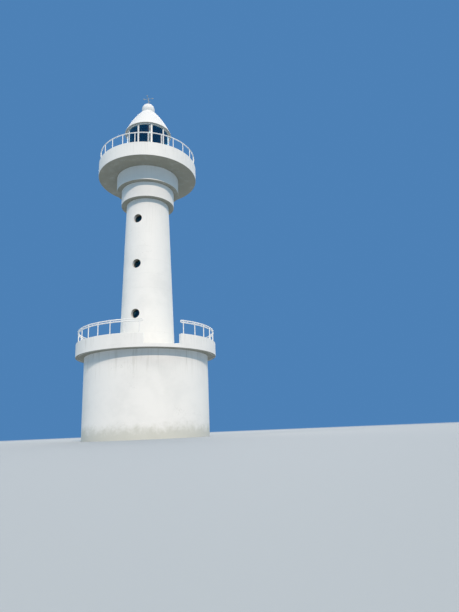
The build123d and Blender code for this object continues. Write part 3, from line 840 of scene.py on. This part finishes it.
# Lantern. A low round wall carries ten lights of curved, faintly mirrored plate glass between steel posts;
# the light at the back is a door. Slim steel beads, screwed to the posts and painted with them, hold each
# pane.
LANTERN_RADIUS = 1.135
POST_WIDTH = 0.06
POST_DEPTH = 0.06
POST_EASE = 0.005
BAYS = 10
DOOR_BAY = 4
GLASS = 0.010
PANE_GAP = 0.002
DOOR_STILE = 0.06
BEAD_WIDTH = 0.012
BEAD_DEPTH = 0.010
BEAD_SEAT = 0.001
BEAD_EASES = np.array([0.0005, 0.0005, 0.004, 0.001])
BEAD_GAP = 0.0005
BEAD_STEPS = 13
LANTERN_WHITE = (0.90, 0.905, 0.90, 1)
LANTERN_DULLED = (0.66, 0.67, 0.66, 1)
# Share of the grey painted shade laid on all that looks down.
UNDERSIDE_SHADE = 0.75
MIRRORED_IOR = 1.85


def shaded_below(material):
    """Grey painted shade on all that looks down, under the eave and the head ring."""
    tree = material.node_tree
    coat = tree.nodes["Principled BSDF"].inputs["Base Color"]
    below = put(tree, facing)["Soffit"]
    painted = coat.links[0].from_socket
    tree.links.new(over(tree, painted, SOFFIT_SHADE, below, share=UNDERSIDE_SHADE), coat)
    return material


lantern_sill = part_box("lantern_base_wall")[1].z
lantern_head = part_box("lantern_head_ring")[0].z
lantern_paint = sheet_paint("lantern_white", LANTERN_WHITE, LANTERN_DULLED, gloss=0.38, rust=0.25)
ring_paint = sheet_paint("head_ring_white", LANTERN_WHITE, LANTERN_DULLED, gloss=0.42, rust=0.2)
lantern_plate = tinted_glass("lantern_plate", foot=lantern_sill, reach=0.5, ior=MIRRORED_IOR)
coat_nodes(masonry("lantern_wall_paint", lantern_sill, reach=0.9, runs=0.35), "lantern_base_wall")
coat_nodes(lantern_plate, "lantern_glass")
# The head ring's underside gets grey painted shade.
coat_nodes(shaded_below(ring_paint), "lantern_head_ring")
eased("lantern_posts", POST_EASE, "lantern_paint", lantern_paint)
eased("lantern_door", DOOR_EASE, "lantern_paint", lantern_paint)


def bead_frames(azimuth, half_width, foot, head, face):
    """Mitred bead round each curved pane. The path runs along the foot from left to right and back along
    the head, with p from -1 to 1 and back and q = -1 and 1; a section point with inset i and depth d lies
    at the angle azimuth + p (half width - i) / face, at the height middle + q (half height - i), and at
    the radius face + d."""
    along = np.linspace(-1, 1, BEAD_STEPS)
    p = np.concatenate([along, along[::-1]])[:, None]
    q = np.repeat([-1.0, 1.0], BEAD_STEPS)[:, None]
    section = softened(
        [(0, -BEAD_SEAT), (BEAD_WIDTH, -BEAD_SEAT), (BEAD_WIDTH, BEAD_DEPTH), (0, BEAD_DEPTH)],
        BEAD_EASES,
        steps=3,
    )
    inset, depth = section.T
    lead = (slice(None), None, None)
    angle = np.radians(azimuth)[lead] + p * (half_width[lead] - inset) / face
    z = (foot + head)[lead] / 2 + q * ((head - foot)[lead] / 2 - inset)
    r = np.broadcast_to(face + depth, z.shape)
    points = np.stack([r * np.sin(angle), -r * np.cos(angle), z], axis=-1)
    faces = quads(len(p), len(inset), True, True)
    return points, repeated(faces, len(azimuth), len(p) * len(inset))


bay = np.arange(BAYS)
stile = np.where(bay == DOOR_BAY, DOOR_STILE, 0.0)
pane_radius = LANTERN_RADIUS - POST_DEPTH / 2
beside_post = POST_WIDTH / 2 + np.where(bay == DOOR_BAY, PANE_GAP + DOOR_STILE, 0.0)
beads = bead_frames(
    azimuth=(bay + 0.5) * 360 / BAYS,
    half_width=pane_radius * (np.pi / BAYS - np.arcsin(beside_post / pane_radius)) - BEAD_GAP,
    foot=lantern_sill + stile,
    head=lantern_head - stile,
    face=pane_radius + GLASS / 2,
)
stand(solid("glazing_beads", *beads, crease=30), "lantern_paint", lantern_paint)


# Roof. A bell-shaped shell of sheet metal, painted white, rolled over at the eave and closed at the top by
# a round plate. It sits on the lantern's head ring. Its inside is dark teal, as painted shade for the unlit
# lantern and a painted reflection of blue sky in the panes, and grey painted shade lies on all that looks
# down.
CROWN_RADIUS = 0.39
PLATE_RING = 0.30
PLATE_EASE = 0.004
BULGE = 0.059
SHELL = 0.03
BEARING = 0.05
SEAT_GAP = 0.0003
EAVE_ROLL = 0.016
EAVE_ROLL_GAP = 0.002
ROLL_STEPS = 8
FLANK_POINTS = 40
LINING_POINTS = 24
ROOF_WHITE = (0.91, 0.915, 0.91, 1)
ROOF_DULLED = (0.74, 0.75, 0.75, 1)
# Dark teal for the roof's inside: painted shade for the unlit lantern, tinted blue as a painted reflection
# of sky in the panes.
LINING_SHADE = (0.010, 0.09, 0.15, 1)


def inwards_effect():
    """Mask of what looks in towards the tower's axis: the shell's inside, given dark teal as painted shade
    and painted sky reflection.
    """
    tree, _, result = effect("inwards", {}, ["Lining"])
    outwards = vector(tree, "DOT_PRODUCT", away_from_axis(tree), normal_here(tree))["Value"]
    tree.links.new(climb(tree, outwards, low=0.0, high=-0.02), result["Lining"])
    return tree


def bell(foot, top, points):
    """Flank of the bell: the straight line from foot to top, plus 4 t (1 - t) of the bulge square to it,
    for t from 0 to 1."""
    foot, top = np.array(foot), np.array(top)
    t = np.linspace(0, 1, points)[:, None]
    along = (top - foot) / np.linalg.norm(top - foot)
    square = np.array([along[1], -along[0]])
    return foot + t * (top - foot) + 4 * t * (1 - t) * BULGE * square


eave_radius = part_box("roof")[1].x
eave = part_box("roof")[0].z
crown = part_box("roof")[1].z
shell_edge = eave_radius - EAVE_ROLL
ring_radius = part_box("lantern_head_ring")[1].x
ring_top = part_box("lantern_head_ring")[1].z
turn = np.linspace(-np.pi / 2, np.pi / 2, ROLL_STEPS + 1)
roll_radii = shell_edge + EAVE_ROLL * np.cos(turn)
roll = np.stack([roll_radii, eave + EAVE_ROLL + EAVE_ROLL * np.sin(turn)], axis=-1)
flank = bell((shell_edge, eave + 2 * EAVE_ROLL + EAVE_ROLL_GAP), (CROWN_RADIUS, crown), FLANK_POINTS)
plate = [(CROWN_RADIUS - PLATE_EASE, crown), (PLATE_RING, crown), (0.0, crown), (0.0, crown - SHELL)]
lining_top = (CROWN_RADIUS - SHELL, crown - SHELL)
lining = bell((ring_radius - BEARING, ring_top), lining_top, LINING_POINTS)
seat = [(ring_radius + SEAT_GAP, ring_top), (ring_radius + SEAT_GAP, eave)]
roof_outline = np.concatenate([roll, flank, plate, lining[::-1], seat])

# The roof's undersides get grey painted shade.
roof_paint = shaded_below(sheet_paint("roof_white", ROOF_WHITE, ROOF_DULLED, gloss=0.42, rust=0.0))
tree = roof_paint.node_tree
coat = tree.nodes["Principled BSDF"].inputs["Base Color"]
# The inside gets the dark teal of painted shade and painted sky reflection.
inside = put(tree, inwards_effect())["Lining"]
tree.links.new(over(tree, coat.links[0].from_socket, LINING_SHADE, inside), coat)
stand(turned("roof_bell", roof_outline, steps=180, crease=30), "roof_paint", roof_paint, "roof")


# Ball. The ventilator's spun ball, in two halves seamed at the waist, painted with the roof and seated on
# a short skirt on the roof's plate.
SEAM_DEPTH = 0.006
SEAM_ANGLE = 0.02
BALL_STEPS = 60
ball_low, ball_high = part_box("ball_ventilator")
ball_radius = ball_high.x
ball_centre = ball_high.z - ball_radius
foot_angle = np.arcsin((ball_low.z - ball_centre) / ball_radius)
rise = np.linspace(foot_angle, np.pi / 2, BALL_STEPS + 1)
reach = ball_radius * (1 - SEAM_DEPTH * np.exp(-((rise / SEAM_ANGLE) ** 2)))
ball_outline = np.stack([reach * np.cos(rise), ball_centre + reach * np.sin(rise)], axis=-1)
ball_outline[-1, 0] = 0.0
ball_outline = np.concatenate([ball_outline, [(0.0, ball_low.z)]])
stand(turned("ball_shell", ball_outline, steps=96, crease=50), "roof_paint", roof_paint, "ball_ventilator")


# Lightning rod. A galvanised mast that stands on the ball, with four level arms, each tipped with a
# rounded knob.
ZINC = (0.40, 0.42, 0.39, 1)
ZINC_DULLED = (0.22, 0.27, 0.22, 1)
coat_nodes(sheet_paint("rod_galvanised", ZINC, ZINC_DULLED, gloss=0.45, rust=0.5), "lightning_rod")


# Stage. A pale floor, a plain blue backdrop, soft light from all round and one lamp high to the right, and
# the camera low in front, looking up at the tower as the photograph does.
FLOOR_PALE = (0.41, 0.445, 0.475, 1)
FLOOR_ROUGHNESS = 0.9
FLOOR_RINGS = np.array([0.0, 8, 20, 40, 70, 90])
FLOOR_STEPS = 96
FADE_FROM = 25.0
FADE_TO = 80.0
BACKDROP = (0.075, 0.22, 0.47, 1)
FILL = (0.14, 0.285, 0.41, 1)
SIDE_COLOUR = (1.0, 0.93, 0.85)

across, up, flat = spun(np.stack([FLOOR_RINGS, np.zeros(len(FLOOR_RINGS))], axis=-1), FLOOR_STEPS)
floor_faces = quads(FLOOR_STEPS, len(FLOOR_RINGS), True, False)[:, ::-1]
floor = solid("floor", np.stack([across, up, flat], axis=-1), floor_faces)
bpy.context.scene.collection.objects.link(floor)
floor_material, tree, pale = blank("floor_pale")
pale["Roughness"].default_value = FLOOR_ROUGHNESS
pale["Base Color"].default_value = FLOOR_PALE
far_off = climb(tree, vector(tree, "LENGTH", here(tree))["Value"], low=FADE_FROM, high=FADE_TO)
clear = add(tree, "ShaderNodeBsdfTransparent").outputs[0]
shader = tree.nodes["Principled BSDF"].outputs[0]
faded = add(tree, "ShaderNodeMixShader", {0: far_off, 1: shader, 2: clear})
tree.links.new(faded.outputs[0], tree.nodes["Material Output"].inputs["Surface"])
floor.data.materials.append(floor_material)

world = bpy.data.worlds.new("studio")
bpy.context.scene.world = world
world.use_nodes = True
tree = world.node_tree
ray = add(tree, "ShaderNodeLightPath").outputs
mirrored = calc(tree, "MAXIMUM", ray["Is Glossy Ray"], ray["Is Transmission Ray"])
seen = calc(tree, "MAXIMUM", ray["Is Camera Ray"], mirrored)
tree.links.new(over(tree, FILL, BACKDROP, seen), tree.nodes["Background"].inputs["Color"])


def far_lamp(name, strength, colour, azimuth, height, spread):
    """Lamp far off at an azimuth and a height above the horizon, both in degrees."""
    lamp = bpy.data.lights.new(name, "SUN")
    lamp.energy = strength
    lamp.color = colour
    lamp.angle = radians(spread)
    lamp_object = bpy.data.objects.new(name, lamp)
    bpy.context.scene.collection.objects.link(lamp_object)
    a, h = radians(azimuth), radians(height)
    towards = Vector((sin(a) * cos(h), -cos(a) * cos(h), sin(h)))
    lamp_object.rotation_mode = "QUATERNION"
    lamp_object.rotation_quaternion = towards.to_track_quat("Z", "Y")


far_lamp("key", strength=2.12, colour=(1.0, 0.83, 0.67), azimuth=35.5, height=37.6, spread=0.6)
far_lamp("left", strength=0.86, colour=SIDE_COLOUR, azimuth=-35, height=50, spread=20)
far_lamp("right", strength=0.72, colour=SIDE_COLOUR, azimuth=100, height=50, spread=20)
far_lamp("back", strength=1.6, colour=SIDE_COLOUR, azimuth=200, height=30, spread=60)

CAMERA_DISTANCE = 22.766
CAMERA_AZIMUTH = 27
CAMERA_HEIGHT = 0.25
LENS = 27.59
SENSOR = 36
CLIP_END = 500
AIM_RIGHT = 10.271
AIM_UP = 14.765
LEAN = -2.377
camera = bpy.data.cameras.new("camera")
camera.lens = LENS
camera.sensor_width = SENSOR
camera.clip_end = CLIP_END
camera_object = bpy.data.objects.new("camera", camera)
bpy.context.scene.collection.objects.link(camera_object)
azimuth = radians(CAMERA_AZIMUTH)
place = Vector((CAMERA_DISTANCE * sin(azimuth), -CAMERA_DISTANCE * cos(azimuth), CAMERA_HEIGHT))
aim = Matrix.Rotation(radians(CAMERA_AZIMUTH - AIM_RIGHT), 4, "Z")
aim = aim @ Matrix.Rotation(radians(90 + AIM_UP), 4, "X") @ Matrix.Rotation(radians(LEAN), 4, "Z")
camera_object.matrix_world = Matrix.Translation(place) @ aim
bpy.context.scene.camera = camera_object
bpy.context.scene.view_settings.view_transform = "Standard"

bpy.context.view_layer.update()
